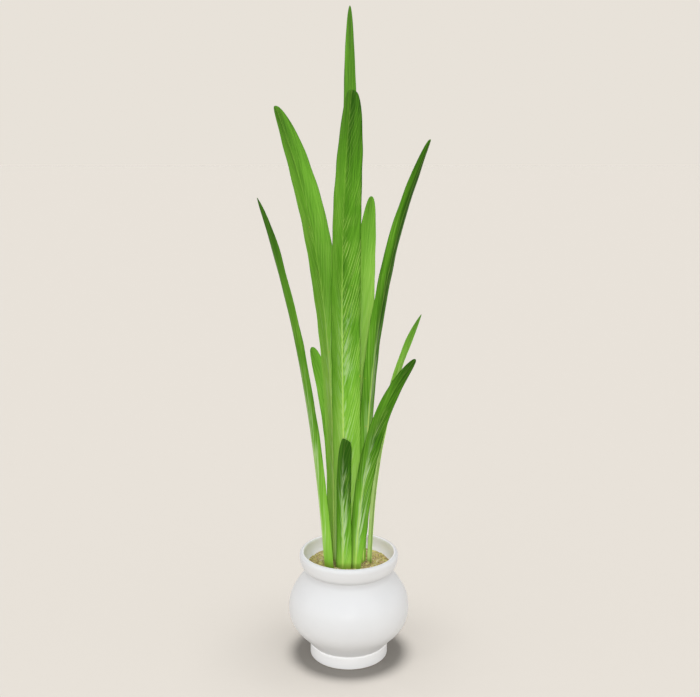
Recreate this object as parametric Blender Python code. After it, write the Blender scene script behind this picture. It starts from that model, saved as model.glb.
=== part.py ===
"""Potted strap-leaved plant: ten leaves growing from a soil-filled round white pot.

Metres, +Z up. The origin is the centre of the foot's flat underside.
The plant's front faces -Y.
"""
import math

import bpy
import bmesh
import numpy as np
from mathutils import Vector

MM = 0.001

# ---------------------------------------------------------------- dimensions (mm)
GAP = 0.3                    # clearance between two neighbouring solids

# pot
SEGMENTS = 44                # facets around the pot and the soil
FOOT_R = 51.7                # foot ring, a short upright cylinder
FOOT_H = 16.4
FOOT_EDGE_R = 1.4            # softened edge at the floor
WALL = 5.0                   # wall thickness of the body and collar
FLOOR_T = 8.0                # thickness of the pot's floor above the underside
BODY = [                     # (height, radius) of the round body, foot to neck
    (16.8, 50.3), (28.3, 60.4), (40.0, 71.0), (51.5, 77.4), (64.0, 79.9),
    (76.0, 79.2), (87.0, 76.2), (98.0, 70.3), (109.5, 62.2), (117.5, 56.9),
]
NECK_Z, NECK_R = 121.4, 55.4         # narrowest line, under the collar
COLLAR_Z, COLLAR_R = 139.4, 65.4     # widest line of the collar
LIP_Z, LIP_R = 144.6, 61.2           # crest of the thin rounded lip
MOUTH_R = 59.6                       # inner edge of the lip

# soil
SOIL_Z = 127.0               # height of the soil surface

# leaves
LEAF_T = 1.6                 # thickness at the midrib, thinner at the edges
BURIED = 12.0                # how far each leaf base goes down into the soil
FOLD_ROUND = 0.32            # roundness of the fold at the midrib
STATIONS = 22                # cross-sections along one leaf
ACROSS = (-1.0, -0.5, 0.0, 0.5, 1.0)   # points across the blade

# Each leaf:
#   base   (x, y) of the midrib at the soil
#   right  lean towards +X at the base, middle and tip, degrees
#   front  lean towards -Y at the base, middle and tip, degrees
#   length along the midrib
#   half   half-width at the base and at the widest place
#   widest share of the length where it is widest
#   tip    taper fullness and tip bluntness (0.5 is round, 1 is pointed)
#   face   direction the outer side faces at base and tip, degrees from -Y towards +X
#   fold   how far each half is folded inwards at base and tip, degrees
LEAVES = {
    "leaf_back_tall": dict(
        base=(0.0, 24.0), right=(5.0, -1.25, 0.75), front=(-1.0, -3.0, -7.0),
        length=718, half=(7.0, 11.0), widest=0.46, tip=(2.3, 0.5),
        face=(180, 181), fold=(18, 8)),
    "leaf_centre_broad": dict(
        base=(-6.0, -6.0), right=(0.75, -0.25, 6.0), front=(1.0, 1.5, 8.0),
        length=610, half=(20.0, 22.5), widest=0.5, tip=(3.8, 0.35),
        face=(-22, -35), fold=(25, 19)),
    "leaf_left_broad": dict(
        base=(-20.0, 14.0), right=(-0.5, -5.0, -22.75), front=(-1.0, -3.5, -14.0),
        length=606, half=(15.5, 23.0), widest=0.7, tip=(2.2, 0.5),
        face=(217, 224), fold=(28, 22)),
    "leaf_left_outer": dict(
        base=(-31.0, -8.0), right=(-3.5, -8.5, -16.75), front=(2.0, 5.0, 12.0),
        length=494, half=(15.0, 14.5), widest=0.84, tip=(2.4, 0.85),
        face=(-65, -65), fold=(23, 11)),
    "leaf_right_tall": dict(
        base=(19.0, 4.0), right=(0.75, 6.25, 22.25), front=(1.0, 5.0, 15.0),
        length=564, half=(6.0, 12.0), widest=0.44, tip=(3.9, 0.45),
        face=(32, 49), fold=(20, 16)),
    "leaf_right_inner": dict(
        base=(10.0, 14.0), right=(1.5, 1.25, 7.25), front=(0.0, -2.0, -14.0),
        length=484, half=(9.0, 16.5), widest=0.5, tip=(2.2, 0.45),
        face=(184, 190), fold=(15, 10)),
    "leaf_right_low_back": dict(
        base=(29.0, 4.0), right=(1.75, 10.75, 28.0), front=(-4.0, -12.0, -24.0),
        length=342, half=(5.5, 9.0), widest=0.84, tip=(2.4, 0.7),
        face=(123, 117), fold=(21, 7)),
    "leaf_right_low_front": dict(
        base=(9.0, -17.0), right=(3.25, 11.25, 35.25), front=(3.0, 9.0, 24.0),
        length=311, half=(7.0, 12.0), widest=0.2, tip=(2.5, 0.45),
        face=(-18, -15), fold=(22, 14)),
    "leaf_left_low": dict(
        base=(-23.5, 26.0), right=(4.25, -4.0, -22.25), front=(-4.0, -11.0, -22.0),
        length=287, half=(10.5, 11.5), widest=0.62, tip=(2.3, 0.4),
        face=(191, 197), fold=(15, 8)),
    "leaf_front_short": dict(
        base=(-8.0, -18.0), right=(2.25, -0.5, 8.5), front=(2.0, 6.0, 22.0),
        length=187, half=(11.5, 11.0), widest=0.56, tip=(3.6, 0.25),
        face=(-15, -32), fold=(22, 21)),
}


# ---------------------------------------------------------------- helpers
def clear_scene():
    for ob in list(bpy.data.objects):
        bpy.data.objects.remove(ob, do_unlink=True)
    for me in list(bpy.data.meshes):
        bpy.data.meshes.remove(me)


def material(name, color, roughness):
    mat = bpy.data.materials.new(name)
    mat.use_nodes = True
    bsdf = mat.node_tree.nodes["Principled BSDF"]
    bsdf.inputs["Base Color"].default_value = (*color, 1.0)
    bsdf.inputs["Roughness"].default_value = roughness
    bsdf.inputs["Metallic"].default_value = 0.0
    mat.diffuse_color = (*color, 1.0)
    return mat


def add_object(name, verts_mm, faces, mat):
    me = bpy.data.meshes.new(name)
    me.from_pydata([Vector(v) * MM for v in verts_mm], [], faces)
    me.validate()
    bm = bmesh.new()
    bm.from_mesh(me)
    bmesh.ops.recalc_face_normals(bm, faces=bm.faces)
    bm.to_mesh(me)
    bm.free()
    for poly in me.polygons:
        poly.use_smooth = True
    me.materials.append(mat)
    ob = bpy.data.objects.new(name, me)
    bpy.context.scene.collection.objects.link(ob)
    return ob


def lathe(profile, segments):
    """Closed solid of revolution. profile: (radius, z) from axis to axis, in order."""
    verts, rings = [], []
    for r, z in profile:
        if r < 1e-6:
            rings.append([len(verts)])
            verts.append((0.0, 0.0, z))
        else:
            start = len(verts)
            for i in range(segments):
                a = 2 * math.pi * i / segments
                verts.append((r * math.cos(a), r * math.sin(a), z))
            rings.append(list(range(start, start + segments)))
    faces = []
    for lo, hi in zip(rings[:-1], rings[1:]):
        for i in range(segments):
            j = (i + 1) % segments
            if len(lo) == 1:
                faces.append((lo[0], hi[i], hi[j]))
            elif len(hi) == 1:
                faces.append((lo[i], hi[0], lo[j]))
            else:
                faces.append((lo[i], hi[i], hi[j], lo[j]))
    return verts, faces


# ---------------------------------------------------------------- pot
def body_curve():
    """Outer (r, z) of the round body from the foot to the neck."""
    return [(r, z) for z, r in BODY] + [(NECK_R, NECK_Z)]


def collar_curve(steps=4):
    """Outer (r, z) of the convex collar, neck to its widest line."""
    out = []
    for i in range(1, steps + 1):
        a = 0.5 * math.pi * i / steps
        out.append((NECK_R + (COLLAR_R - NECK_R) * math.sin(a),
                    NECK_Z + (COLLAR_Z - NECK_Z) * (1 - math.cos(a))))
    return out


def lip_curve(steps=3):
    """Rounded lip from the collar's widest line over the crest to the mouth."""
    out = []
    for i in range(1, steps + 1):
        a = 0.5 * math.pi * i / steps
        out.append((LIP_R + (COLLAR_R - LIP_R) * math.cos(a),
                    COLLAR_Z + (LIP_Z - COLLAR_Z) * math.sin(a)))
    out.append((MOUTH_R + 0.35, LIP_Z - 0.5))
    out.append((MOUTH_R, LIP_Z - 1.6))
    return out


def inner_curve(offset):
    """Inner wall (r, z) from under the lip down to the floor, pulled in by offset."""
    outer = np.array(body_curve() + collar_curve())
    d = np.gradient(outer, axis=0)
    n = np.stack([-d[:, 1], d[:, 0]], 1)
    n /= np.linalg.norm(n, axis=1)[:, None]
    inner = outer + n * (WALL + offset)
    floor_z = FLOOR_T + offset
    keep = [tuple(p) for p in inner if p[1] > floor_z + 9.0 and p[1] < COLLAR_Z - 1.5]
    keep = keep[::-1]
    r_low, z_low = keep[-1]
    corner = [(r_low - 5.0, floor_z + 3.2), (r_low - 10.0, floor_z + 0.6), (r_low - 15.0, floor_z)]
    return keep + corner


def build_pot():
    profile = [(0.0, 0.0), (FOOT_R - FOOT_EDGE_R, 0.0),
               (FOOT_R - 0.3 * FOOT_EDGE_R, 0.3 * FOOT_EDGE_R), (FOOT_R, FOOT_EDGE_R),
               (FOOT_R, FOOT_H - 0.6), (FOOT_R - 0.5, FOOT_H)]
    profile += body_curve() + collar_curve() + lip_curve()
    profile += inner_curve(0.0) + [(0.0, FLOOR_T)]
    verts, faces = lathe(profile, SEGMENTS)
    return add_object("pot", verts, faces, material("pot_glaze", (0.80, 0.79, 0.77), 0.38))


# ---------------------------------------------------------------- leaves
def through(values, s):
    """Quadratic through three values at the start, middle and end."""
    a, b, c = values
    return a * 2 * (s - 0.5) * (s - 1) - b * 4 * s * (s - 1) + c * 2 * s * (s - 0.5)


def unit(v):
    return v / np.linalg.norm(v, axis=1)[:, None]


def leaf_frame(dim, count=401):
    """Midrib points, outward side, width direction, half-width and fold along a leaf."""
    s = np.linspace(0.0, 1.0, count)
    right = np.radians(through(dim["right"], s))
    front = np.radians(through(dim["front"], s))
    tangent = unit(np.stack([np.tan(right), -np.tan(front), np.ones_like(s)], 1))
    step = (tangent[1:] + tangent[:-1]) / 2 * dim["length"] / (count - 1)
    mid = np.concatenate([[[0.0, 0.0, 0.0]], np.cumsum(step, 0)])
    mid = mid + np.array([dim["base"][0], dim["base"][1], SOIL_Z])
    face = np.radians(dim["face"][0] + (dim["face"][1] - dim["face"][0]) * s)
    flat = np.stack([np.sin(face), -np.cos(face), np.zeros_like(s)], 1)
    level = np.clip(s / 0.06, 0, 1)[:, None]
    level = level * level * (3 - 2 * level)
    ring_t = unit(tangent * level + np.array([[0.0, 0.0, 1.0]]) * (1 - level))
    out = unit(flat - (flat * ring_t).sum(1)[:, None] * ring_t)
    across = np.cross(ring_t, out)
    w0, w1 = dim["half"]
    u = np.clip(s / dim["widest"], 0, 1)
    half = w0 + (w1 - w0) * u * u * (3 - 2 * u)
    v = np.clip((s - dim["widest"]) / (1 - dim["widest"]), 0, 1)
    half = half * np.maximum(1 - v ** dim["tip"][0], 0) ** dim["tip"][1]
    fold = np.radians(dim["fold"][0] + (dim["fold"][1] - dim["fold"][0]) * s)
    return s, mid, out, across, half, fold


def section(mid, out, across, half, fold, grow=0.0):
    """One closed cross-section: outer side edge to edge, then back along the inner side."""
    outer, inner = [], []
    full = max(0.42, min(1.0, half / 6.0))
    for u in ACROSS:
        bend = (math.sqrt(u * u + FOLD_ROUND ** 2) - FOLD_ROUND) / (
            math.sqrt(1 + FOLD_ROUND ** 2) - FOLD_ROUND)
        thick = LEAF_T * (1.0 - 0.45 * u * u) * full + 2 * grow
        side = (half + grow) * math.cos(fold) * u
        deep = half * math.sin(fold) * bend
        p = mid + across * side - out * deep
        outer.append(p + out * thick / 2)
        inner.append(p - out * thick / 2)
    return outer + inner[::-1]


def strip(rings):
    """Join cross-sections into one closed solid with flat ends."""
    k = len(rings[0])
    verts = [p for ring in rings for p in ring]
    faces = []
    for i in range(len(rings) - 1):
        for j in range(k):
            a, b = i * k + j, i * k + (j + 1) % k
            faces.append((a, b, b + k, a + k))
    for start in (0, (len(rings) - 1) * k):
        for j in range(k // 2 - 1):
            faces.append((start + j, start + j + 1, start + k - 2 - j, start + k - 1 - j))
    return verts, faces


def leaf_rings(dim):
    s, mid, out, across, half, fold = leaf_frame(dim)
    v = np.linspace(0.0, 1.0, STATIONS)
    where = (1 - (1 - v) ** 1.4) * 0.9985

    def at(values, x):
        if values.ndim == 1:
            return float(np.interp(x, s, values))
        return np.array([np.interp(x, s, values[:, c]) for c in range(3)])

    rings = [section(mid[0] - np.array([0, 0, BURIED]), out[0], across[0], half[0], fold[0])]
    for x in where:
        rings.append(section(at(mid, x), at(out, x), at(across, x),
                             max(at(half, x), 0.9), at(fold, x)))
    return rings


def build_leaf(name, dim):
    verts, faces = strip(leaf_rings(dim))
    return add_object(name, verts, faces, material(name + "_green", (0.13, 0.30, 0.05), 0.45))


def pocket_cutter(name, dim):
    """Upright prism a gap wider than a leaf base, for its pocket in the soil."""
    s, mid, out, across, half, fold = leaf_frame(dim)
    rings = []
    for dz in (-BURIED - GAP, 8.0):
        rings.append(section(mid[0] + np.array([0, 0, dz]), out[0], across[0],
                             half[0], fold[0], grow=GAP))
    verts, faces = strip(rings)
    ob = add_object("cut_" + name, verts, faces, material("cut_" + name, (0.5, 0.5, 0.5), 0.5))
    ob.hide_render = True
    ob.display_type = "WIRE"
    return ob


# ---------------------------------------------------------------- soil
def build_soil():
    wall = [p for p in inner_curve(GAP) if p[1] < SOIL_Z - 1.0]
    top_outer = [p for p in inner_curve(GAP) if p[1] >= SOIL_Z - 1.0][-1]
    r0, z0 = wall[0]
    r1, z1 = top_outer
    r_top = r0 + (r1 - r0) * (SOIL_Z - z0) / (z1 - z0) - 0.4
    profile = [(0.0, SOIL_Z), (r_top, SOIL_Z)] + wall + [(0.0, FLOOR_T + GAP)]
    profile = profile[::-1]
    verts, faces = lathe(profile, SEGMENTS)
    soil = add_object("soil", verts, faces, material("soil_mix", (0.36, 0.31, 0.20), 0.95))
    cutters = [pocket_cutter(name, dim) for name, dim in LEAVES.items()]
    for cutter in cutters:
        mod = soil.modifiers.new("pocket", "BOOLEAN")
        mod.operation = "DIFFERENCE"
        mod.solver = "EXACT"
        mod.object = cutter
    deps = bpy.context.evaluated_depsgraph_get()
    fresh = bpy.data.meshes.new_from_object(soil.evaluated_get(deps))
    soil.modifiers.clear()
    old = soil.data
    soil.data = fresh
    fresh.name = "soil"
    bpy.data.meshes.remove(old)
    fresh.materials.clear()
    fresh.materials.append(bpy.data.materials["soil_mix"])
    for poly in fresh.polygons:
        poly.use_smooth = True
        poly.material_index = 0
    for cutter in cutters:
        bpy.data.objects.remove(cutter, do_unlink=True)
    return soil


clear_scene()
build_pot()
build_soil()
for leaf_name, leaf_dim in LEAVES.items():
    build_leaf(leaf_name, leaf_dim)
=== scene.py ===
"""Looks for the potted strap-leaved plant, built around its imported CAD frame."""
import math

import bmesh
import bpy
import numpy as np
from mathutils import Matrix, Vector


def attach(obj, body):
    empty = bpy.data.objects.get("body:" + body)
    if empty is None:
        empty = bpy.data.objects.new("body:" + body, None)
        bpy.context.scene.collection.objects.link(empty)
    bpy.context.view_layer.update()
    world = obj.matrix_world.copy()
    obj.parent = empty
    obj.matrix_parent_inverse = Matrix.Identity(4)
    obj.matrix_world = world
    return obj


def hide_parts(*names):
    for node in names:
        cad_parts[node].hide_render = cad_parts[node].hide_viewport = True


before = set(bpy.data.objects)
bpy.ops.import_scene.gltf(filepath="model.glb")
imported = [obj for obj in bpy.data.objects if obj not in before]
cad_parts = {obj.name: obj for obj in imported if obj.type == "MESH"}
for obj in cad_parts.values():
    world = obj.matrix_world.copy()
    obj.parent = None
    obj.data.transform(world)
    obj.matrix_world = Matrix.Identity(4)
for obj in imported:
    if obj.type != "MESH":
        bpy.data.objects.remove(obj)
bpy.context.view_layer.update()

MM = 0.001
RNG = np.random.default_rng(4127)

# ------------------------------------------------------------------ shared dimensions (mm), as in the CAD part
WALL = 5.0
FLOOR_T = 8.0
FOOT_R, FOOT_H, FOOT_EDGE_R = 51.7, 16.4, 1.4
BODY = [(16.8, 50.3), (28.3, 60.4), (40.0, 71.0), (51.5, 77.4), (64.0, 79.9),
        (76.0, 79.2), (87.0, 76.2), (98.0, 70.3), (109.5, 62.2), (117.5, 56.9)]
NECK_Z, NECK_R = 121.4, 55.4
COLLAR_Z, COLLAR_R = 139.4, 65.4
LIP_Z, LIP_R = 144.6, 61.2
MOUTH_R = 59.6
SOIL_Z = 127.0
LEAF_T = 1.6
BURIED = 12.0
FOLD_ROUND = 0.32

LEAVES = {
    "leaf_back_tall": dict(
        base=(0.0, 24.0), right=(5.0, -1.25, 0.75), front=(-1.0, -3.0, -7.0),
        length=718, half=(7.0, 11.0), widest=0.46, tip=(2.3, 0.5),
        face=(180, 181), fold=(18, 8)),
    "leaf_centre_broad": dict(
        base=(-6.0, -6.0), right=(0.75, -0.25, 6.0), front=(1.0, 1.5, 8.0),
        length=610, half=(20.0, 22.5), widest=0.5, tip=(3.8, 0.35),
        face=(-22, -35), fold=(25, 19)),
    "leaf_left_broad": dict(
        base=(-20.0, 14.0), right=(-0.5, -5.0, -22.75), front=(-1.0, -3.5, -14.0),
        length=606, half=(15.5, 23.0), widest=0.7, tip=(2.2, 0.5),
        face=(217, 224), fold=(28, 22)),
    "leaf_left_outer": dict(
        base=(-31.0, -8.0), right=(-3.5, -8.5, -16.75), front=(2.0, 5.0, 12.0),
        length=494, half=(15.0, 14.5), widest=0.84, tip=(2.4, 0.85),
        face=(-65, -65), fold=(23, 11)),
    "leaf_right_tall": dict(
        base=(19.0, 4.0), right=(0.75, 6.25, 22.25), front=(1.0, 5.0, 15.0),
        length=564, half=(6.0, 12.0), widest=0.44, tip=(3.9, 0.45),
        face=(32, 49), fold=(20, 16)),
    "leaf_right_inner": dict(
        base=(10.0, 14.0), right=(1.5, 1.25, 7.25), front=(0.0, -2.0, -14.0),
        length=484, half=(9.0, 16.5), widest=0.5, tip=(2.2, 0.45),
        face=(184, 190), fold=(15, 10)),
    "leaf_right_low_back": dict(
        base=(29.0, 4.0), right=(1.75, 10.75, 28.0), front=(-4.0, -12.0, -24.0),
        length=342, half=(5.5, 9.0), widest=0.84, tip=(2.4, 0.7),
        face=(123, 117), fold=(21, 7)),
    "leaf_right_low_front": dict(
        base=(9.0, -17.0), right=(3.25, 11.25, 35.25), front=(3.0, 9.0, 24.0),
        length=311, half=(7.0, 12.0), widest=0.2, tip=(2.5, 0.45),
        face=(-18, -15), fold=(22, 14)),
    "leaf_left_low": dict(
        base=(-23.5, 26.0), right=(4.25, -4.0, -22.25), front=(-4.0, -11.0, -22.0),
        length=287, half=(10.5, 11.5), widest=0.62, tip=(2.3, 0.4),
        face=(191, 197), fold=(15, 8)),
    "leaf_front_short": dict(
        base=(-8.0, -18.0), right=(2.25, -0.5, 8.5), front=(2.0, 6.0, 22.0),
        length=187, half=(11.5, 11.0), widest=0.56, tip=(3.6, 0.25),
        face=(-15, -32), fold=(22, 21)),
}

# Looks of each leaf. tone 0 is the pale sunlit green, 1 the deepest green.
#   tone    tone at the soil, at each fifth of the length, and at the tip; the lower stops hold the blade's own pale base and, on top of it, painted light that lifts the shade between the leaves
#   streak  how strongly pale strokes lie beside the midrib, and the heights (mm) they run between
#   lean    how much deeper the left half is than the right half: in the lower third, and in the upper half; set negative here, as painted light that lifts the shade on the left half
#   core    how much deeper the middle of the blade is than its sides in the upper half
#   slant   how steeply the veins climb beside the midrib (larger = more upright)
#   hair    how clearly the thin pale veins show
#   rib     how clearly the pale midrib line shows, and the share of the length where it ends
#   seed    sets the run of the veins
LOOKS = {
    "leaf_back_tall": dict(tone=(0.50, 0.60, 0.80, 0.84, 0.80, 0.96), streak=0.2, span=(120, 260),
                           lean=(0.0, 0.0), core=0.05, slant=9.0, hair=0.20, rib=(0.2, 0.5), seed=1.3),
    "leaf_centre_broad": dict(tone=(-0.32, 0.12, 0.54, 0.78, 0.76, 1.06), streak=0.62, span=(60, 300),
                              lean=(-0.22, -0.15), core=0.06, slant=2.5, hair=0.46, rib=(0.85, 0.62), seed=2.9),
    "leaf_left_broad": dict(tone=(0.10, 0.08, 0.06, 0.58, 0.60, 0.90), streak=0.6, span=(120, 280),
                            lean=(0.0, 0.0), core=0.12, slant=4.6, hair=0.36, rib=(0.8, 0.58), seed=5.1),
    "leaf_left_outer": dict(tone=(0.24, 0.42, 0.70, 0.76, 0.82, 1.02), streak=0.9, span=(20, 220),
                            lean=(0.0, 0.0), core=0.0, slant=8.0, hair=0.26, rib=(0.4, 0.50), seed=7.7),
    "leaf_right_tall": dict(tone=(0.34, 0.20, 0.86, 0.98, 1.00, 1.20), streak=0.6, span=(120, 260),
                            lean=(0.00, -0.18), core=0.18, slant=8.0, hair=0.24, rib=(0.8, 0.48), seed=11.2),
    "leaf_right_inner": dict(tone=(0.30, 0.32, -0.08, 0.10, 0.26, 0.80), streak=0.3, span=(60, 300),
                             lean=(0.00, -0.08), core=0.08, slant=5.0, hair=0.36, rib=(0.5, 0.60), seed=13.4),
    "leaf_right_low_back": dict(tone=(-0.54, -0.56, -0.28, 0.10, 0.28, 0.82), streak=0.7, span=(30, 220),
                                lean=(0.0, 0.0), core=0.04, slant=8.0, hair=0.30, rib=(0.4, 0.60), seed=17.9),
    "leaf_right_low_front": dict(tone=(0.14, 0.74, 0.76, 0.98, 0.90, 1.20), streak=0.9, span=(20, 130),
                                 lean=(-0.18, -0.12), core=0.04, slant=7.0, hair=0.26, rib=(0.40, 0.45), seed=19.6),
    "leaf_left_low": dict(tone=(0.44, 0.44, 0.40, 0.62, 0.50, 0.80), streak=0.1, span=(40, 160),
                          lean=(0.0, -0.12), core=0.05, slant=6.0, hair=0.30, rib=(0.4, 0.50), seed=23.3),
    "leaf_front_short": dict(tone=(0.08, 0.56, 0.72, 1.02, 1.08, 1.20), streak=0.9, span=(10, 90),
                             lean=(0.00, -0.14), core=0.04, slant=4.5, hair=0.24, rib=(0.40, 0.50), seed=29.8),
}


# ------------------------------------------------------------------ mesh helpers
def mesh_object(name, verts, faces, uv=None, smooth=True):
    me = bpy.data.meshes.new(name)
    verts = np.asarray(verts, np.float32)
    faces = np.asarray(faces, np.int32)
    n, k = faces.shape
    me.vertices.add(len(verts))
    me.vertices.foreach_set("co", (verts * MM).ravel())
    me.loops.add(n * k)
    me.loops.foreach_set("vertex_index", faces.ravel())
    me.polygons.add(n)
    me.polygons.foreach_set("loop_start", np.arange(0, n * k, k, dtype=np.int32))
    me.polygons.foreach_set("loop_total", np.full(n, k, np.int32))
    me.update(calc_edges=True)
    me.polygons.foreach_set("use_smooth", np.full(n, smooth))
    me.validate()
    ob = bpy.data.objects.new(name, me)
    bpy.context.scene.collection.objects.link(ob)
    return ob


def set_vector(ob, name, values):
    at = ob.data.attributes.new(name, "FLOAT_VECTOR", "POINT")
    at.data.foreach_set("vector", np.asarray(values, np.float32).ravel())


def set_float(ob, name, values):
    at = ob.data.attributes.new(name, "FLOAT", "POINT")
    at.data.foreach_set("value", np.asarray(values, np.float32).ravel())


# ------------------------------------------------------------------ node helpers
class Nodes:
    """Small builder for procedural materials."""

    def __init__(self, name):
        self.mat = bpy.data.materials.new(name)
        self.mat.use_nodes = True
        self.tree = self.mat.node_tree
        self.tree.nodes.clear()
        self.out = self.tree.nodes.new("ShaderNodeOutputMaterial")
        self.bsdf = self.tree.nodes.new("ShaderNodeBsdfPrincipled")
        self.tree.links.new(self.bsdf.outputs[0], self.out.inputs[0])

    def put(self, socket, value):
        if isinstance(value, bpy.types.NodeSocket):
            self.tree.links.new(value, socket)
        else:
            socket.default_value = value

    def math(self, op, a, b=0.0, c=0.0, clamp=False):
        n = self.tree.nodes.new("ShaderNodeMath")
        n.operation = op
        n.use_clamp = clamp
        self.put(n.inputs[0], a)
        self.put(n.inputs[1], b)
        if op in ("MULTIPLY_ADD", "SMOOTH_MIN", "SMOOTH_MAX", "COMPARE"):
            self.put(n.inputs[2], c)
        return n.outputs[0]

    def add(self, a, b):
        return self.math("ADD", a, b)

    def sub(self, a, b):
        return self.math("SUBTRACT", a, b)

    def mul(self, a, b):
        return self.math("MULTIPLY", a, b)

    def ramp(self, x, lo, hi, a=0.0, b=1.0, smooth=True):
        """x from lo..hi to a..b, clamped."""
        n = self.tree.nodes.new("ShaderNodeMapRange")
        n.interpolation_type = "SMOOTHSTEP" if smooth else "LINEAR"
        n.clamp = True
        self.put(n.inputs["Value"], x)
        self.put(n.inputs["From Min"], lo)
        self.put(n.inputs["From Max"], hi)
        self.put(n.inputs["To Min"], a)
        self.put(n.inputs["To Max"], b)
        return n.outputs["Result"]

    def attr(self, name):
        n = self.tree.nodes.new("ShaderNodeAttribute")
        n.attribute_type = "GEOMETRY"
        n.attribute_name = name
        return n

    def split(self, vec):
        n = self.tree.nodes.new("ShaderNodeSeparateXYZ")
        self.put(n.inputs[0], vec)
        return n.outputs[0], n.outputs[1], n.outputs[2]

    def join(self, x, y, z):
        n = self.tree.nodes.new("ShaderNodeCombineXYZ")
        for socket, v in zip(n.inputs, (x, y, z)):
            self.put(socket, v)
        return n.outputs[0]

    def noise(self, vec, scale, detail=3.0, rough=0.55, distort=0.0):
        n = self.tree.nodes.new("ShaderNodeTexNoise")
        n.inputs["Scale"].default_value = scale
        n.inputs["Detail"].default_value = detail
        n.inputs["Roughness"].default_value = rough
        n.inputs["Distortion"].default_value = distort
        self.put(n.inputs["Vector"], vec)
        return n.outputs["Fac"]

    def voronoi(self, vec, scale, feature="F1"):
        n = self.tree.nodes.new("ShaderNodeTexVoronoi")
        n.feature = feature
        n.inputs["Scale"].default_value = scale
        self.put(n.inputs["Vector"], vec)
        return n

    def colours(self, x, stops):
        n = self.tree.nodes.new("ShaderNodeValToRGB")
        n.color_ramp.interpolation = "EASE" if len(stops) < 3 else "LINEAR"
        el = n.color_ramp.elements
        while len(el) < len(stops):
            el.new(0.5)
        for e, (p, c) in zip(el, stops):
            e.position = p
            e.color = (*c, 1.0)
        self.put(n.inputs[0], x)
        return n.outputs[0]

    def mix(self, fac, a, b, mode="MIX"):
        n = self.tree.nodes.new("ShaderNodeMix")
        n.data_type = "RGBA"
        n.blend_type = mode
        n.clamp_factor = True
        self.put(n.inputs[0], fac)
        self.put(n.inputs[6], a if isinstance(a, bpy.types.NodeSocket) else (*a, 1.0))
        self.put(n.inputs[7], b if isinstance(b, bpy.types.NodeSocket) else (*b, 1.0))
        return n.outputs[2]

    def bump(self, height, strength, distance, normal=None):
        n = self.tree.nodes.new("ShaderNodeBump")
        n.inputs["Strength"].default_value = strength
        n.inputs["Distance"].default_value = distance
        self.put(n.inputs["Height"], height)
        if normal is not None:
            self.put(n.inputs["Normal"], normal)
        return n.outputs[0]


def lin(r, g, b):
    """sRGB 0-255 to linear."""
    def one(v):
        v = v / 255.0
        return v / 12.92 if v <= 0.04045 else ((v + 0.055) / 1.055) ** 2.4
    return (one(r), one(g), one(b))


# ------------------------------------------------------------------ pot
def catmull(points, per_span):
    pts = [np.array(p, float) for p in points]
    pts = [2 * pts[0] - pts[1]] + pts + [2 * pts[-1] - pts[-2]]
    out = []
    for k in range(1, len(pts) - 2):
        p0, p1, p2, p3 = pts[k - 1:k + 3]
        for i in range(per_span):
            t = i / per_span
            out.append(0.5 * ((2 * p1) + (p2 - p0) * t + (2 * p0 - 5 * p1 + 4 * p2 - p3) * t * t
                              + (3 * p1 - p0 - 3 * p2 + p3) * t ** 3))
    out.append(pts[-2])
    return out


def arc(cx, cz, rx, rz, a0, a1, steps):
    return [(cx + rx * math.cos(math.radians(a0 + (a1 - a0) * i / steps)),
             cz + rz * math.sin(math.radians(a0 + (a1 - a0) * i / steps))) for i in range(steps + 1)]


def collar_outer(steps):
    """Convex collar from the neck to its widest line, met by the body in a small soft hollow."""
    out = []
    for i in range(1, steps + 1):
        a = 0.5 * math.pi * i / steps
        out.append((NECK_R + (COLLAR_R - NECK_R) * math.sin(a),
                    NECK_Z + (COLLAR_Z - NECK_Z) * (1 - math.cos(a))))
    return out


def smooth_profile(pts, rounds):
    p = np.array(pts, float)
    for _ in range(rounds):
        q = p.copy()
        q[1:-1] = 0.25 * p[:-2] + 0.5 * p[1:-1] + 0.25 * p[2:]
        p = q
    return p


def outer_and_inner():
    """Outer curve foot to collar, and the inner wall top to bottom, as (r, z)."""
    body = catmull([(r, z) for z, r in BODY] + [(NECK_R, NECK_Z)], 7)
    outer = np.array([tuple(p) for p in body] + collar_outer(18))
    outer = smooth_profile(outer, 3)
    for _ in range(16):                                  # soft hollow where the collar meets the body
        soft = smooth_profile(outer, 1)
        near = np.exp(-((outer[:, 1] - NECK_Z) / 3.2) ** 2)[:, None]
        outer = outer + (soft - outer) * near
    d = np.gradient(outer, axis=0)
    n = np.stack([-d[:, 1], d[:, 0]], 1)
    n /= np.linalg.norm(n, axis=1)[:, None]
    inner = outer + n * WALL
    inner = [tuple(p) for p in inner if FLOOR_T + 9.5 < p[1] < COLLAR_Z - 1.5][::-1]
    return outer, inner


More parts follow.
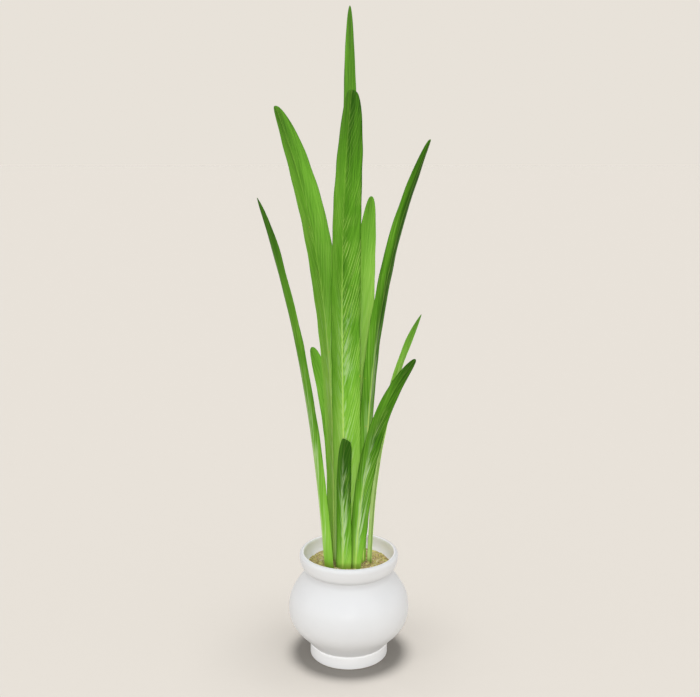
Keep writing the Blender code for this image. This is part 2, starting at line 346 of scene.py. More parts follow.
def pot_profile():
    outer, inner = outer_and_inner()
    lip = arc(LIP_R, COLLAR_Z, COLLAR_R - LIP_R, LIP_Z - COLLAR_Z, 6, 84, 12)
    # the crest is a thin bead that rolls over into the mouth
    lip += [(LIP_R - 0.2, LIP_Z - 0.02), (LIP_R - 0.8, LIP_Z - 0.12), (MOUTH_R + 0.35, LIP_Z - 0.45),
            (MOUTH_R + 0.1, LIP_Z - 0.9), (MOUTH_R - 0.05, LIP_Z - 1.6), (MOUTH_R - 0.25, LIP_Z - 2.8)]
    foot = [(0.0, 0.45), (20.0, 0.45), (40.0, 0.4), (45.5, 0.32)]
    foot += [(47.0, 0.05), (47.8, 0.0), (49.2, 0.0)]
    foot += arc(FOOT_R - FOOT_EDGE_R, FOOT_EDGE_R, FOOT_EDGE_R, FOOT_EDGE_R, -80, 0, 6)
    foot += [(FOOT_R + 0.02, 3.6), (FOOT_R + 0.02, 6.5), (FOOT_R, 10.0), (FOOT_R, 13.0)]
    foot += arc(FOOT_R - 0.9, FOOT_H - 0.9, 0.9, 0.9, 0, 75, 4)
    r_low, z_low = inner[-1]
    floor = [(r_low - 3.0, z_low - 3.5), (r_low - 6.0, FLOOR_T + 2.6), (r_low - 10.0, FLOOR_T + 0.8),
             (r_low - 15.0, FLOOR_T), (20.0, FLOOR_T), (0.0, FLOOR_T)]
    return foot + [tuple(p) for p in outer] + lip + inner + floor


def build_pot():
    seg = 224
    prof = pot_profile()
    ang = 2 * math.pi * np.arange(seg) / seg
    ca, sa = np.cos(ang), np.sin(ang)
    verts, rings = [], []
    for r, z in prof:
        if r < 1e-6:
            rings.append(("pole", len(verts)))
            verts.append((0.0, 0.0, z))
        else:
            # a hand-finished pot: a hair out of round, never more than 0.15 mm
            rr = r * (1 + 0.0008 * np.cos(2 * ang + 0.8) * min(1.0, z / 60.0)) - 0.08 * min(1.0, z / 20.0)
            zz = z + (0.10 * np.cos(ang + 2.1) - 0.10 if z > 100 else 0.0) * np.ones(seg)
            rings.append(("ring", len(verts)))
            verts.extend(np.stack([rr * ca, rr * sa, zz], 1).tolist())
    quads, tris = [], []
    idx = np.arange(seg)
    nxt = (idx + 1) % seg
    for (ka, a), (kb, b) in zip(rings[:-1], rings[1:]):
        if ka == "pole":
            quads.append(np.stack([np.full(seg, a), b + nxt, b + idx, b + idx], 1))
        elif kb == "pole":
            quads.append(np.stack([a + idx, a + nxt, np.full(seg, b), np.full(seg, b)], 1))
        else:
            quads.append(np.stack([a + idx, a + nxt, b + nxt, b + idx], 1))
    faces = np.concatenate(quads)
    me = bpy.data.meshes.new("pot_shell")
    me.from_pydata([Vector(v) * MM for v in verts], [],
                   [tuple(dict.fromkeys(f)) for f in faces.tolist()])
    me.validate()
    me.polygons.foreach_set("use_smooth", np.full(len(me.polygons), True))
    ob = bpy.data.objects.new("pot_shell", me)
    bpy.context.scene.collection.objects.link(ob)

    m = Nodes("pot_matte_glaze")
    geo = m.tree.nodes.new("ShaderNodeTexCoord")
    pos = geo.outputs["Object"]
    x, y, z = m.split(pos)
    soft = m.noise(pos, 22.0, 2.0, 0.5)
    fine = m.noise(pos, 900.0, 3.0, 0.6)
    pits = m.voronoi(pos, 420.0)
    pit_mask = m.ramp(pits.outputs["Distance"], 0.0, 0.16, 1.0, 0.0)
    pit_pick = m.ramp(m.noise(pos, 160.0, 1.0), 0.62, 0.70)
    pit = m.mul(pit_mask, pit_pick)
    base = m.mix(m.ramp(soft, 0.35, 0.65), (0.68, 0.687, 0.699), (0.665, 0.672, 0.684))
    speck = m.voronoi(pos, 260.0)
    speck_on = m.mul(m.ramp(speck.outputs["Distance"], 0.05, 0.11, 1.0, 0.0),
                     m.ramp(m.noise(pos, 90.0, 1.0), 0.68, 0.74))
    base = m.mix(m.mul(speck_on, 0.25), base, lin(205, 203, 198))
    # painted light: the inside of the mouth is made brighter and a touch less green, to offset the shade in the recess
    # and the green light the leaves throw into it
    rad = m.math("SQRT", m.add(m.mul(x, x), m.mul(y, y)))
    nx, ny, nz = m.split(geo.outputs["Normal"])
    facing_out = m.math("DIVIDE", m.add(m.mul(nx, x), m.mul(ny, y)), m.math("MAXIMUM", rad, 0.001))
    inside = m.mul(m.ramp(facing_out, -0.10, 0.30, 1.0, 0.0), m.ramp(z, 0.110, 0.118))
    # painted shade over the neck, where the collar shades the body; painted light over the foot ring, which the bulge
    # shades, and inside the mouth
    neck = m.mul(m.ramp(z, 0.1125, 0.1185), m.ramp(z, 0.1235, 0.1275, 1.0, 0.0))
    base = m.mix(neck, base, (0.605, 0.611, 0.622))
    # painted light: the foot ring is made lighter than the body, against the shade under the bulge
    base = m.mix(m.ramp(z, 0.0165, 0.0215, 1.0, 0.0), base, (0.85, 0.855, 0.865))
    # painted light inside the mouth
    base = m.mix(inside, base, (0.955, 0.915, 0.96))
    # bare clay on the foot's underside ring
    bare = m.ramp(z, 0.0008, 0.0013, 1.0, 0.0)
    base = m.mix(bare, base, lin(222, 216, 206))
    m.put(m.bsdf.inputs["Base Color"], base)
    rough = m.add(m.ramp(fine, 0.3, 0.7, 0.40, 0.50), m.mul(bare, 0.35))
    m.put(m.bsdf.inputs["Roughness"], rough)
    m.bsdf.inputs["Specular IOR Level"].default_value = 0.35
    height = m.add(m.mul(fine, 0.25), m.sub(m.mul(soft, 0.6), m.mul(pit, 0.8)))
    m.put(m.bsdf.inputs["Normal"], m.bump(height, 0.20, 0.0002))
    ob.data.materials.append(m.mat)
    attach(ob, "root")
    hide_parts("pot")
    return ob


# ------------------------------------------------------------------ leaves
def through(values, s):
    a, b, c = values
    return a * 2 * (s - 0.5) * (s - 1) - b * 4 * s * (s - 1) + c * 2 * s * (s - 0.5)


def unit(v):
    return v / np.linalg.norm(v, axis=1)[:, None]


def leaf_frame(dim, count=801):
    s = np.linspace(0.0, 1.0, count)
    right = np.radians(through(dim["right"], s))
    front = np.radians(through(dim["front"], s))
    tangent = unit(np.stack([np.tan(right), -np.tan(front), np.ones_like(s)], 1))
    step = (tangent[1:] + tangent[:-1]) / 2 * dim["length"] / (count - 1)
    mid = np.concatenate([[[0.0, 0.0, 0.0]], np.cumsum(step, 0)])
    mid = mid + np.array([dim["base"][0], dim["base"][1], SOIL_Z])
    face = np.radians(dim["face"][0] + (dim["face"][1] - dim["face"][0]) * s)
    flat = np.stack([np.sin(face), -np.cos(face), np.zeros_like(s)], 1)
    level = np.clip(s / 0.06, 0, 1)[:, None]
    level = level * level * (3 - 2 * level)
    ring_t = unit(tangent * level + np.array([[0.0, 0.0, 1.0]]) * (1 - level))
    out = unit(flat - (flat * ring_t).sum(1)[:, None] * ring_t)
    across = np.cross(ring_t, out)
    w0, w1 = dim["half"]
    u = np.clip(s / dim["widest"], 0, 1)
    half = w0 + (w1 - w0) * u * u * (3 - 2 * u)
    v = np.clip((s - dim["widest"]) / (1 - dim["widest"]), 0, 1)
    half = half * np.maximum(1 - v ** dim["tip"][0], 0) ** dim["tip"][1]
    fold = np.radians(dim["fold"][0] + (dim["fold"][1] - dim["fold"][0]) * s)
    return s, mid, out, across, half, fold


def leaf_shape(dim, look):
    """Fine blade: verts (N,3) mm, quads, and per-vertex (across mm, along mm, share) with the half-width and side."""
    s0, mid0, out0, across0, half0, fold0 = leaf_frame(dim)
    length = dim["length"]
    n = int(length / 1.7)
    v = np.linspace(0.0, 1.0, n)
    s = v - 0.06 * np.sin(math.pi * v) * v ** 3          # a little denser towards the tip
    s = s / s[-1] * 0.9992

    def at(a):
        if a.ndim == 1:
            return np.interp(s, s0, a)
        return np.stack([np.interp(s, s0, a[:, k]) for k in range(3)], 1)

    mid, out, across, half, fold = at(mid0), at(out0), at(across0), at(half0), at(fold0)
    out = unit(out)
    across = unit(across)
    # buried part: straight down
    nb = 8
    down = np.linspace(BURIED - 0.4, BURIED / nb, nb)[:, None] * np.array([[0, 0, -1.0]])
    mid = np.concatenate([mid[:1] + down, mid])
    out = np.concatenate([np.repeat(out[:1], nb, 0), out])
    across = np.concatenate([np.repeat(across[:1], nb, 0), across])
    half = np.concatenate([np.repeat(half[:1], nb), half])
    fold = np.concatenate([np.repeat(fold[:1], nb), fold])
    along = np.concatenate([-np.linspace(BURIED - 0.4, BURIED / nb, nb), s * length])
    share = np.clip(along / length, 0, 1)
    half = np.maximum(half, 0.25)

    m = 15
    u = np.sin(np.linspace(-0.5 * math.pi, 0.5 * math.pi, 2 * m + 1))
    u = 0.55 * u + 0.45 * np.linspace(-1, 1, 2 * m + 1)
    bend = (np.sqrt(u * u + FOLD_ROUND ** 2) - FOLD_ROUND) / (math.sqrt(1 + FOLD_ROUND ** 2) - FOLD_ROUND)
    U, A = np.meshgrid(u, along)
    B = np.broadcast_to(bend, U.shape)
    W = half[:, None]
    X = U * W
    taper = np.clip(W / 6.0, 0.30, 1.0)
    grow = np.clip(A / 60.0, 0, 1)
    # gentle waviness of the blade, strongest at the margins and towards the tip
    sd = look["seed"]
    wave = (0.30 * np.sin(A / 23.0 + 2.1 * sd) + 0.22 * np.sin(A / 9.7 + 3.7 * sd + np.sign(U) * 1.3)) * U * U * grow
    wave = wave + 0.07 * np.sin(X / 1.9 + sd + A / 70.0) * (1 - U * U) * grow      # faint lengthwise pleats
    wave = wave * np.clip(share[:, None] * 1.2 + 0.35, 0, 1.2)
    margin = 1.0 + 0.012 * np.sin(A / 6.3 + sd * 5 + np.sign(U) * 2.0) * np.abs(U) ** 3 * grow
    lat = X * margin * np.cos(fold)[:, None]
    deep = (W * np.sin(fold)[:, None]) * B
    base = mid[:, None, :] + across[:, None, :] * lat[..., None] + out[:, None, :] * (wave - deep)[..., None]
    thick = LEAF_T * (1.0 - 0.50 * U * U) * taper
    # midrib: a ridge on the outer side and a shallow groove on the inner side, fading to the tip
    rib_w = (1.5 - 0.9 * share)[:, None]
    rib = np.exp(-(X / rib_w) ** 2) * np.clip(1.15 - share, 0.1, 1)[:, None] * np.clip(W / 8.0, 0, 1)
    edge = np.sqrt(np.clip(1 - np.abs(U) ** 6, 0, 1))        # rounded margins
    outer = base + out[:, None, :] * (thick / 2 * edge + 0.34 * rib)[..., None]
    inner = base - out[:, None, :] * (thick / 2 * edge - 0.22 * rib)[..., None]
    R, C = U.shape
    # ring: outer left..right, then inner right..left, without doubling the margin points
    ring = np.concatenate([outer, inner[:, -2:0:-1, :]], 1)
    k = ring.shape[1]
    verts = ring.reshape(-1, 3)
    col = np.concatenate([U, U[:, -2:0:-1]], 1)
    side = np.concatenate([np.ones_like(U), np.zeros((R, C - 2))], 1)
    side[:, 0] = side[:, C - 1] = 0.5
    hw = np.repeat(half, k)
    info = np.stack([(col * W).ravel(), np.repeat(along, k), np.repeat(share, k)], 1)
    i = np.arange(R - 1)[:, None] * k
    j = np.arange(k)[None, :]
    a = (i + j).ravel()
    b = (i + (j + 1) % k).ravel()
    quads = np.stack([a, b, b + k, a + k], 1)
    # end caps: strips between the outer and the inner run
    caps = []
    for start, flip in ((0, True), ((R - 1) * k, False)):
        for q in range(C - 1):
            o0, o1 = start + q, start + q + 1
            i0 = start + (k - q) % k
            i1 = start + (k - q - 1) % k if q < C - 2 else start + C - 1
            f = [o0, o1, i1, i0]
            f = f[::-1] if flip else f
            caps.append(f)
    return verts, quads, caps, info, hw, side.ravel()


def leaf_material(name, look):
    m = Nodes(name)
    seed = look["seed"]
    info = m.attr("leaf_at").outputs["Vector"]
    x, y, s = m.split(info)                       # metres across, metres along, share of the length
    hw = m.attr("leaf_half").outputs["Fac"]
    outer = m.attr("leaf_outer").outputs["Fac"]
    ax = m.math("ABSOLUTE", x)
    right = m.ramp(x, -0.0006, 0.0006)
    rel = m.math("DIVIDE", ax, m.math("MAXIMUM", hw, 0.001))
    side_seed = m.add(m.mul(right, 7.3), seed)
    wob = m.mul(m.sub(m.noise(m.join(m.mul(x, 40.0), m.mul(y, 12.0), side_seed), 1.0, 2.0), 0.5), 0.016)
    # run along a vein: leaves the midrib at a slant and bends towards the margin
    climb = look["slant"]
    p = m.sub(m.sub(y, m.mul(ax, climb)), m.mul(m.mul(ax, rel), 1.3))
    p = m.add(p, wob)
    steep = math.sqrt(climb * climb + 1.0)
    tip_zone = m.ramp(s, 0.66, 0.90)
    calm = m.ramp(s, 0.66, 0.90, 1.0, 0.25)                # slanting veins die out towards the tip

    def streaks(wide_mm, long_mm, offset, detail=3.0):
        """Strokes lying along the veins: width across a stroke and reach sideways from the midrib, mm."""
        vec = m.join(m.mul(p, 1000.0 / (wide_mm * steep)), m.mul(ax, 1000.0 / long_mm),
                     m.add(side_seed, offset))
        return m.noise(vec, 1.0, detail, 0.6)

    broad = streaks(6.4, 40.0, 0.0, 2.0)
    middle = streaks(2.2, 26.0, 11.0, 3.0)
    fine = streaks(0.95, 20.0, 23.0, 3.0)
    # hair lines running straight up the blade
    length_lines = m.noise(m.join(m.mul(x, 1000.0 / 1.15), m.mul(y, 1000.0 / 70.0), m.add(seed, 41.0)), 1.0, 3.0, 0.6)
    veins = m.math("SINE", m.mul(m.add(p, m.mul(m.sub(middle, 0.5), 0.004)), 2 * math.pi / (0.0017 * steep)))
    vein_line = m.ramp(veins, 0.25, 1.0)

    # painted light: the lower tone stops carry the blade's pale base plus extra paleness that lifts the shade in the
    # slots between the leaves
    stops = look["tone"]
    tone = m.ramp(s, 0.0, 0.2, stops[0], stops[1], smooth=False)
    for k in range(1, 5):
        tone = m.add(tone, m.ramp(s, 0.2 * k, 0.2 * (k + 1), 0.0, stops[k + 1] - stops[k], smooth=False))
    # painted light: a negative lean makes the left half paler, against the shade that falls on it
    left = m.ramp(x, -0.0025, 0.0015, 1.0, 0.0)
    tone = m.add(tone, m.mul(m.mul(left, m.ramp(s, 0.30, 0.45, 1.0, 0.0)), look["lean"][0]))
    tone = m.add(tone, m.mul(m.mul(left, m.ramp(s, 0.35, 0.55)), look["lean"][1]))
    heart = m.mul(m.ramp(rel, 0.10, 0.65, 1.0, -0.35), m.ramp(s, 0.45, 0.65))
    tone = m.add(tone, m.mul(heart, look["core"]))
    slanted = m.add(m.mul(m.sub(broad, 0.5), 0.34), m.add(m.mul(m.sub(middle, 0.5), 0.38), m.mul(m.sub(fine, 0.5), 0.42)))
    tone = m.add(tone, m.mul(slanted, calm))
    tone = m.add(tone, m.mul(m.sub(length_lines, 0.5), m.add(0.42, m.mul(tip_zone, 0.42))))
    tone = m.add(tone, m.mul(m.sub(vein_line, 0.4), 0.05))
    tone = m.add(tone, m.ramp(rel, 0.86, 1.0, 0.0, 0.10))        # deeper green margin
    green = m.colours(m.math("MULTIPLY_ADD", tone, 0.64, 0.32), [
        (0.00, lin(206, 230, 148)), (0.10, lin(190, 220, 126)), (0.20, lin(168, 208, 100)), (0.32, lin(150, 196, 82)),
        (0.448, lin(130, 181, 65)), (0.576, lin(110, 164, 49)), (0.704, lin(90, 145, 35)), (0.832, lin(69, 120, 22)),
        (0.96, lin(46, 90, 11)), (1.0, lin(36, 76, 8))])

    # thin pale lines that run along the veins and fade in and out
    hair = m.ramp(m.math("ABSOLUTE", m.sub(streaks(2.6, 22.0, 57.0, 2.0), 0.5)), 0.004, 0.030, 1.0, 0.0)
    hair_here = m.ramp(m.noise(m.join(m.mul(x, 60.0), m.mul(y, 26.0), m.add(side_seed, 5.0)), 1.0, 2.0), 0.36, 0.58)
    ribs = m.math("SINE", m.mul(m.add(p, m.mul(m.sub(broad, 0.5), 0.008)), 2 * math.pi / (0.0043 * steep)))
    hair = m.math("MAXIMUM", m.mul(hair, 0.5), m.ramp(ribs, 0.72, 0.99))
    hair_gain = m.mul(m.mul(calm, m.ramp(s, 0.10, 0.35, 0.5, 1.0)), m.ramp(right, 0.0, 1.0, 0.65, 1.0))
    green = m.mix(m.mul(m.mul(hair, hair_here), m.mul(hair_gain, look["hair"])), green, lin(178, 208, 106))

    # whitish strokes beside the midrib, mostly on one side
    lo, hi = look["span"]
    run = m.mul(m.ramp(y, lo * MM * 0.4, lo * MM + 0.03, 0.0, 1.0), m.ramp(y, hi * MM, hi * MM + 0.09, 1.0, 0.0))
    near = m.mul(m.ramp(rel, 0.04, 0.16), m.ramp(rel, 0.30, 0.85, 1.0, 0.0))
    pick = m.ramp(streaks(2.9, 10.0, 37.0, 3.0), 0.50, 0.62)
    side_gain = m.ramp(right, 0.0, 1.0, 0.40, 1.0)
    pale = m.mul(m.mul(m.mul(pick, near), run), m.mul(side_gain, look["streak"]))
    green = m.mix(m.mul(pale, 0.50), green, lin(200, 220, 172))

    # midrib: pale yellow-green line, whiter flanks low down
    rib_w = m.ramp(s, 0.0, 1.0, 0.0014, 0.0006, smooth=False)
    rib = m.ramp(m.math("DIVIDE", ax, rib_w), 0.45, 1.25, 1.0, 0.0)
    rib_tone = m.mix(m.ramp(s, 0.0, 0.6), lin(192, 216, 116), lin(160, 200, 84))
    rib_end = look["rib"][1]
    rib_gain = m.mul(m.ramp(s, rib_end - 0.15, rib_end + 0.12, 1.0, 0.18), look["rib"][0])
    flank = m.mul(m.ramp(m.math("DIVIDE", ax, rib_w), 0.9, 2.6, 1.0, 0.0), m.mul(run, 0.42 * look["streak"]))
    green = m.mix(m.mul(flank, m.ramp(middle, 0.40, 0.58)), green, lin(206, 218, 186))
    green = m.mix(m.mul(rib, rib_gain), green, rib_tone)

    # painted light: the inner side is made a little lighter and the outer side stays a little deeper, for the inner
    # face that turns up towards the light
    green = m.mix(m.mul(m.sub(1.0, outer), 0.06), green, lin(150, 196, 84))
    # few tiny pale or rusty specks
    cell = m.voronoi(m.join(m.mul(x, 1.0), m.mul(y, 0.7), seed), 75.0)
    dot = m.mul(m.ramp(cell.outputs["Distance"], 0.05, 0.085, 1.0, 0.0),
                m.ramp(m.noise(m.join(x, y, seed + 3.0), 55.0, 1.0), 0.60, 0.64))
    hue = m.ramp(m.noise(m.join(x, y, seed + 9.0), 30.0, 1.0), 0.48, 0.52)
    green = m.mix(m.mul(dot, 0.75), green, m.mix(hue, lin(216, 222, 200), lin(186, 150, 60)))
    # bleached sheath just above the soil
    sheath = m.mul(m.ramp(m.add(y, m.mul(m.sub(fine, 0.5), 0.010)), 0.000, 0.010, 1.0, 0.0), 0.45)
    green = m.mix(sheath, green, lin(150, 180, 70))
    m.put(m.bsdf.inputs["Base Color"], green)
    rough = m.add(m.ramp(middle, 0.3, 0.7, 0.54, 0.66), m.mul(m.sub(1.0, outer), -0.03))
    m.put(m.bsdf.inputs["Roughness"], rough)
    m.bsdf.inputs["Specular IOR Level"].default_value = 0.06
    height = m.add(m.mul(vein_line, 0.5), m.add(m.mul(fine, 0.7), m.mul(middle, 0.5)))
    m.put(m.bsdf.inputs["Normal"], m.bump(height, 0.35, 0.00025))
    return m.mat


def build_leaf(name, dim, look):
    verts, quads, caps, info, hw, side = leaf_shape(dim, look)
    me = bpy.data.meshes.new(name + "_blade")
    polys = quads.tolist() + [list(dict.fromkeys(f)) for f in caps]
    me.from_pydata((verts * MM).tolist(), [], polys)
    me.validate()
    me.polygons.foreach_set("use_smooth", np.full(len(me.polygons), True))
    ob = bpy.data.objects.new(name + "_blade", me)
    bpy.context.scene.collection.objects.link(ob)
    set_vector(ob, "leaf_at", info * MM * np.array([1, 1, 1 / MM]))
    set_float(ob, "leaf_half", hw * MM)
    set_float(ob, "leaf_outer", side)
    ob.data.materials.append(leaf_material(name + "_skin", look))
    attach(ob, "root")
    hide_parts(name)
    return ob


# ------------------------------------------------------------------ soil
def inner_radius(z):
    """Inner radius of the pot wall at height z."""
    wall = np.array(outer_and_inner()[1][::-1])
    return float(np.interp(z, wall[:, 1], wall[:, 0]))


def leaf_footprints():
    """Cross-sections of the leaves where they enter the soil, as polylines of (x, y)."""
    runs = []
    for dim in LEAVES.values():
        s, mid, out, across, half, fold = leaf_frame(dim, 41)
        pts = []
        for u in np.linspace(-1, 1, 13):
            bend = (math.sqrt(u * u + FOLD_ROUND ** 2) - FOLD_ROUND) / (math.sqrt(1 + FOLD_ROUND ** 2) - FOLD_ROUND)
            p = mid[0] + across[0] * half[0] * math.cos(fold[0]) * u - out[0] * half[0] * math.sin(fold[0]) * bend
            pts.append(p[:2])
        runs.append(np.array(pts))
    return runs


def gap_to_leaves(xy, runs):
    best = np.full(len(xy), 1e9)
    for run in runs:
        for a, b in zip(run[:-1], run[1:]):
            ab = b - a
            t = np.clip(((xy - a) @ ab) / (ab @ ab), 0, 1)
            d = np.linalg.norm(xy - (a + t[:, None] * ab), axis=1)
            best = np.minimum(best, d)
    return best


def lump(x, y):
    """Low relief of the soil surface, in mm."""
    return (0.45 * np.sin(x / 7.3 + 0.6) * np.cos(y / 6.1 - 0.4) + 0.30 * np.sin(x / 3.1 + y / 4.2)
            + 0.18 * np.sin(x / 1.7 - y / 2.3 + 1.0))


def ico(level):
    bm = bmesh.new()
    bmesh.ops.create_icosphere(bm, subdivisions=level, radius=1.0)
    v = np.array([p.co[:] for p in bm.verts])
    f = np.array([[q.index for q in face.verts] for face in bm.faces])
    bm.free()
    return v, f


def turn(rng, flatness):
    """Random rotation that leaves a flat chip mostly lying down."""
    yaw = rng.uniform(0, 2 * math.pi)
    tilt = rng.normal(0, flatness)
    roll = rng.normal(0, flatness)
    cz, sz = math.cos(yaw), math.sin(yaw)
    cx, sx = math.cos(tilt), math.sin(tilt)
    cy, sy = math.cos(roll), math.sin(roll)
    rz = np.array([[cz, -sz, 0], [sz, cz, 0], [0, 0, 1]])
    rx = np.array([[1, 0, 0], [0, cx, -sx], [0, sx, cx]])
    ry = np.array([[cy, 0, sy], [0, 1, 0], [-sy, 0, cy]])
    return rz @ rx @ ry


def build_soil():
    rng = RNG
    runs = leaf_footprints()
    verts, tris, tint, kind = [], [], [], []
    count = 0

    def put(v, f, t, k):
        nonlocal count
        verts.append(v)
        tris.append(np.asarray(f) + count)
        tint.append(np.full(len(v), t) if np.isscalar(t) else t)
        kind.append(np.full(len(v), k, float))
        count += len(v)

    # body of the soil: closed lathe with a finely lumpy top
    seg = 200
    r_top = inner_radius(SOIL_Z) - 0.32
    ang = 2 * math.pi * np.arange(seg) / seg
    radii = np.concatenate([np.linspace(1.2, r_top * 0.985, 52), [r_top]])
    ring = []
    for r in radii:
        x, y = r * np.cos(ang), r * np.sin(ang)
        z = SOIL_Z - 0.9 + lump(x, y) * min(1.0, (r_top - r) / 3.0 + 0.35)
        ring.append(np.stack([x, y, z], 1))
    side = []
    for z in (126.2 - 1.2, 121.5, 117.0, 111.0, 103.0, 93.0, 80.0, 64.0, 48.0, 34.0, 24.0, 18.5):
        r = inner_radius(z) - 0.32
        side.append(np.stack([r * np.cos(ang), r * np.sin(ang), np.full(seg, z)], 1))
    for r, z in ((inner_radius(18.5) - 5.5, 13.5), (inner_radius(18.5) - 10.0, 9.8), (inner_radius(18.5) - 16.0, 8.35)):
        side.append(np.stack([r * np.cos(ang), r * np.sin(ang), np.full(seg, z)], 1))
    rows = ring + side
    body = np.concatenate([[[0.0, 0.0, SOIL_Z - 0.9 + float(lump(0.0, 0.0))]]] + rows + [[[0.0, 0.0, 8.35]]])
    idx = np.arange(seg)
    nxt = (idx + 1) % seg
    f = [np.stack([np.zeros(seg, int), 1 + idx, 1 + nxt], 1)]
    for k in range(len(rows) - 1):
        a, b = 1 + k * seg, 1 + (k + 1) * seg
        f.append(np.stack([a + idx, b + idx, b + nxt], 1))
        f.append(np.stack([a + idx, b + nxt, a + nxt], 1))
    last = 1 + (len(rows) - 1) * seg
    f.append(np.stack([last + idx, np.full(seg, len(body) - 1), last + nxt], 1))
    put(body, np.concatenate(f), 0.5, 0.0)

    # chips and grains, larger ones first, each lying half sunk in the surface
    v1, f1 = ico(2)
    v0, f0 = ico(1)
    sizes = ([(rng.uniform(3.2, 6.0), 2) for _ in range(170)] + [(rng.uniform(1.9, 3.4), 2) for _ in range(620)]
             + [(rng.uniform(0.9, 1.9), 1) for _ in range(2600)])
    reach = np.sqrt(rng.uniform(0, 1, 9000)) * (r_top - 0.8)
    turn_to = rng.uniform(0, 2 * math.pi, 9000)
    pool = np.stack([reach * np.cos(turn_to), reach * np.sin(turn_to)], 1)
    clear = gap_to_leaves(pool, runs)
    spot = 0
    for size, level in sizes:
        v, f = (v1, f1) if level == 2 else (v0, f0)
        long = size * 0.5
        wide = long * rng.uniform(0.38, 0.8)
        tall = long * rng.uniform(0.22, 0.5) if size > 1.9 else long * rng.uniform(0.45, 0.9)
        while spot < len(pool) and (clear[spot] < long * 0.75 + 1.1 or reach[spot] > r_top - long * 0.9 - 0.4):
            spot += 1
        if spot >= len(pool):
            break
        c = pool[spot:spot + 1]
        spot += 1
        jag = 1 + rng.normal(0, 0.16 if level == 2 else 0.2, len(v))
        shape = v * jag[:, None] * np.array([long, wide, tall])
        # split faces on chips: press one side flat
        if rng.uniform() < 0.6:
            shape[:, 2] = np.minimum(shape[:, 2], tall * rng.uniform(0.45, 0.8))
        shape = shape @ turn(rng, 0.28 if size > 1.9 else 0.8).T
        z = SOIL_Z - 0.75 + float(lump(c[0, 0], c[0, 1])) + rng.uniform(-0.1, 0.65) * tall + (0.35 if size < 1.9 else 0.0)
        shape = shape + np.array([c[0, 0], c[0, 1], z])
        shape[:, 2] = np.minimum(shape[:, 2], SOIL_Z + 2.6)
        put(shape, f, rng.uniform(0, 1), 1.0)

    # thin dry fibres
    for _ in range(150):
        n = 9
        r = math.sqrt(rng.uniform(0, 1)) * (r_top - 5.0)
        a = rng.uniform(0, 2 * math.pi)
        c = np.array([r * math.cos(a), r * math.sin(a)])
        heading = rng.uniform(0, 2 * math.pi)
        length = rng.uniform(4.0, 9.0)
        pts = []
        for i in range(n):
            pts.append([*c, SOIL_Z + 0.10 + float(lump(*c)) + 0.75 * math.sin(math.pi * i / (n - 1)) * rng.uniform(0.7, 1.0)])
            heading += rng.normal(0, 0.22)
            c = c + length / n * np.array([math.cos(heading), math.sin(heading)])
        pts = np.array(pts)
        if np.linalg.norm(pts[:, :2], axis=1).max() > r_top - 1.0 or gap_to_leaves(pts[:, :2], runs).min() < 1.4:
            continue
        thick = rng.uniform(0.14, 0.26)
        t = np.gradient(pts, axis=0)
        t /= np.linalg.norm(t, axis=1)[:, None]
        n1 = np.cross(t, [0, 0, 1.0])
        n1 /= np.linalg.norm(n1, axis=1)[:, None]
        n2 = np.cross(t, n1)
        k = 5
        ringv = []
        for i in range(n):
            w = thick * (0.35 + 0.65 * math.sin(math.pi * (i + 0.5) / n))
            for q in range(k):
                b = 2 * math.pi * q / k
                ringv.append(pts[i] + w * (math.cos(b) * n1[i] + math.sin(b) * n2[i]))
        f = []
        for i in range(n - 1):
            for q in range(k):
                a0, a1 = i * k + q, i * k + (q + 1) % k
                f += [[a0, a0 + k, a1 + k], [a0, a1 + k, a1]]
        for q in range(1, k - 1):
            f.append([0, q, q + 1])
            f.append([(n - 1) * k, (n - 1) * k + q + 1, (n - 1) * k + q])
        put(np.array(ringv), f, rng.uniform(0.1, 0.5), 2.0)

    V = np.concatenate(verts)
    F = np.concatenate(tris)
    ob = mesh_object("soil_mix_bed", V, F, smooth=False)
    set_float(ob, "grain_tint", np.concatenate(tint))
    set_float(ob, "grain_kind", np.concatenate(kind))

    m = Nodes("soil_chips")
    pos = m.tree.nodes.new("ShaderNodeTexCoord").outputs["Object"]
    t = m.attr("grain_tint").outputs["Fac"]
    k = m.attr("grain_kind").outputs["Fac"]
    n_big = m.noise(pos, 70.0, 3.0)
    n_mid = m.noise(pos, 340.0, 4.0, 0.65)
    n_fine = m.noise(pos, 1500.0, 3.0, 0.6)
    on = m.ramp(k, 0.2, 0.8)
    where = m.add(m.mul(t, 0.80), m.mul(m.sub(n_mid, 0.5), 0.75))
    where = m.add(where, m.mul(m.sub(n_big, 0.5), 0.6))
    where = m.math("ADD", where, 0.10)
    chips = m.colours(where, [
        (0.00, lin(154, 136, 96)), (0.12, lin(192, 170, 126)), (0.24, lin(224, 190, 158)), (0.36, lin(226, 216, 140)),
        (0.52, lin(240, 234, 150)), (0.68, lin(220, 210, 130)), (0.82, lin(232, 208, 178)), (1.0, lin(244, 238, 212))])
    ground = m.colours(n_mid, [(0.30, lin(138, 120, 84)), (0.52, lin(190, 172, 116)), (0.72, lin(216, 204, 138))])
    col = m.mix(on, ground, chips)
    col = m.mix(m.ramp(n_fine, 0.62, 0.72, 0.0, 0.45), col, lin(228, 220, 178))
    col = m.mix(m.ramp(n_fine, 0.36, 0.26, 0.0, 0.4), col, lin(120, 98, 72))
    m.put(m.bsdf.inputs["Base Color"], col)
    m.put(m.bsdf.inputs["Roughness"], m.ramp(n_mid, 0.3, 0.7, 0.82, 0.97))
    m.bsdf.inputs["Specular IOR Level"].default_value = 0.25
    h = m.add(m.mul(n_fine, 0.5), n_mid)
    m.put(m.bsdf.inputs["Normal"], m.bump(h, 0.8, 0.0006))
    ob.data.materials.append(m.mat)
    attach(ob, "root")
    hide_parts("soil")
    return ob


# ------------------------------------------------------------------ stage, light and camera
BACK = (0.806, 0.760, 0.694)


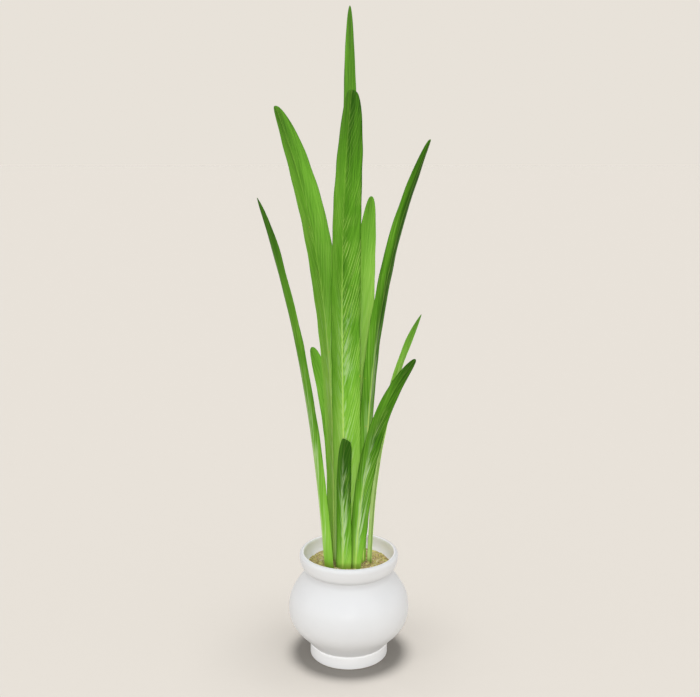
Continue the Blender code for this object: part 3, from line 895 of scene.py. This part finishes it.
def build_stage():
    me = bpy.data.meshes.new("floor")
    e = 40.0
    me.from_pydata([(-e, -e, 0), (e, -e, 0), (e, e, 0), (-e, e, 0)], [], [(0, 1, 2, 3)])
    ob = bpy.data.objects.new("floor", me)
    bpy.context.scene.collection.objects.link(ob)
    mat = bpy.data.materials.new("floor_pale")
    mat.use_nodes = True
    bsdf = mat.node_tree.nodes["Principled BSDF"]
    bsdf.inputs["Base Color"].default_value = (*FLOOR_TONE, 1.0)
    bsdf.inputs["Roughness"].default_value = 1.0
    bsdf.inputs["Specular IOR Level"].default_value = 0.0
    me.materials.append(mat)
    return ob


def build_world():
    world = bpy.data.worlds.new("studio")
    bpy.context.scene.world = world
    world.use_nodes = True
    t = world.node_tree
    t.nodes.clear()
    out = t.nodes.new("ShaderNodeOutputWorld")
    bg = t.nodes.new("ShaderNodeBackground")
    coord = t.nodes.new("ShaderNodeTexCoord")
    sep = t.nodes.new("ShaderNodeSeparateXYZ")
    t.links.new(coord.outputs["Generated"], sep.inputs[0])
    ramp = t.nodes.new("ShaderNodeMapRange")
    ramp.interpolation_type = "SMOOTHSTEP"
    ramp.inputs["From Min"].default_value = math.sin(math.radians(24))
    ramp.inputs["From Max"].default_value = math.sin(math.radians(36))
    t.links.new(sep.outputs[2], ramp.inputs["Value"])
    mix = t.nodes.new("ShaderNodeMix")
    mix.data_type = "RGBA"
    mix.inputs[6].default_value = (*BACK, 1.0)
    mix.inputs[7].default_value = (*UPPER, 1.0)
    t.links.new(ramp.outputs["Result"], mix.inputs[0])
    t.links.new(mix.outputs[2], bg.inputs["Color"])
    bg.inputs["Strength"].default_value = 1.0
    t.links.new(bg.outputs[0], out.inputs[0])


def sun(name, azimuth, elevation, angle, strength, colour=(1, 1, 1)):
    """Soft far light. azimuth from the front (-Y) towards the right, degrees."""
    data = bpy.data.lights.new(name, "SUN")
    data.angle = math.radians(angle)
    data.energy = strength
    data.color = colour
    ob = bpy.data.objects.new(name, data)
    bpy.context.scene.collection.objects.link(ob)
    a, e = math.radians(azimuth), math.radians(elevation)
    to = Vector((math.sin(a) * math.cos(e), -math.cos(a) * math.cos(e), math.sin(e)))
    ob.rotation_euler = to.to_track_quat("Z", "Y").to_euler()
    return ob


def build_camera():
    data = bpy.data.cameras.new("front")
    data.lens = 50.0
    data.sensor_width = 36.0
    data.sensor_fit = "HORIZONTAL"
    data.clip_start = 0.05
    data.clip_end = 200.0
    ob = bpy.data.objects.new("front", data)
    bpy.context.scene.collection.objects.link(ob)
    ob.location = (0.00164, -1.2116, 0.6665)
    ob.rotation_euler = (math.radians(90.0 - 11.58), 0.0, 0.0)
    bpy.context.scene.camera = ob


FLOOR_TONE = (0.2616, 0.2454, 0.2235)
UPPER = (0.62, 0.632, 0.655)
LEAF_FILL = 0.92

blades = [build_leaf(n, dim, LOOKS[n]) for n, dim in LEAVES.items()]
build_pot()
build_soil()
floor = build_stage()
build_world()
sun("overhead", 0.0, 84.0, 50.0, 0.5, (0.95, 0.975, 1.0))
sun("left_soft", -58.0, 26.0, 70.0, 0.70, (0.95, 0.975, 1.0))
sun("right_soft", 58.0, 26.0, 70.0, 0.54, (0.95, 0.975, 1.0))
sun("front_fill", 0.0, 18.0, 10.0, 0.80, (0.95, 0.975, 1.0))
# near-level lamp of the plant alone, so the slots between the leaves stay bright
leaf_fill = sun("leaf_fill", 0.0, 15.0, 7.0, LEAF_FILL, (0.97, 1.0, 0.97))
plant = bpy.data.collections.new("lit_by_leaf_fill")
for piece in blades:
    plant.objects.link(piece)
leaf_fill.light_linking.receiver_collection = plant
# overhead lamp of the floor, which gives the soft round shadow under the pot
pool = sun("floor_pool", 0.0, 90.0, 24.0, 6.4)
lit = bpy.data.collections.new("lit_by_floor_pool")
lit.objects.link(floor)
pool.light_linking.receiver_collection = lit
build_camera()

scene = bpy.context.scene
scene.view_settings.view_transform = "Standard"
scene.view_settings.look = "None"
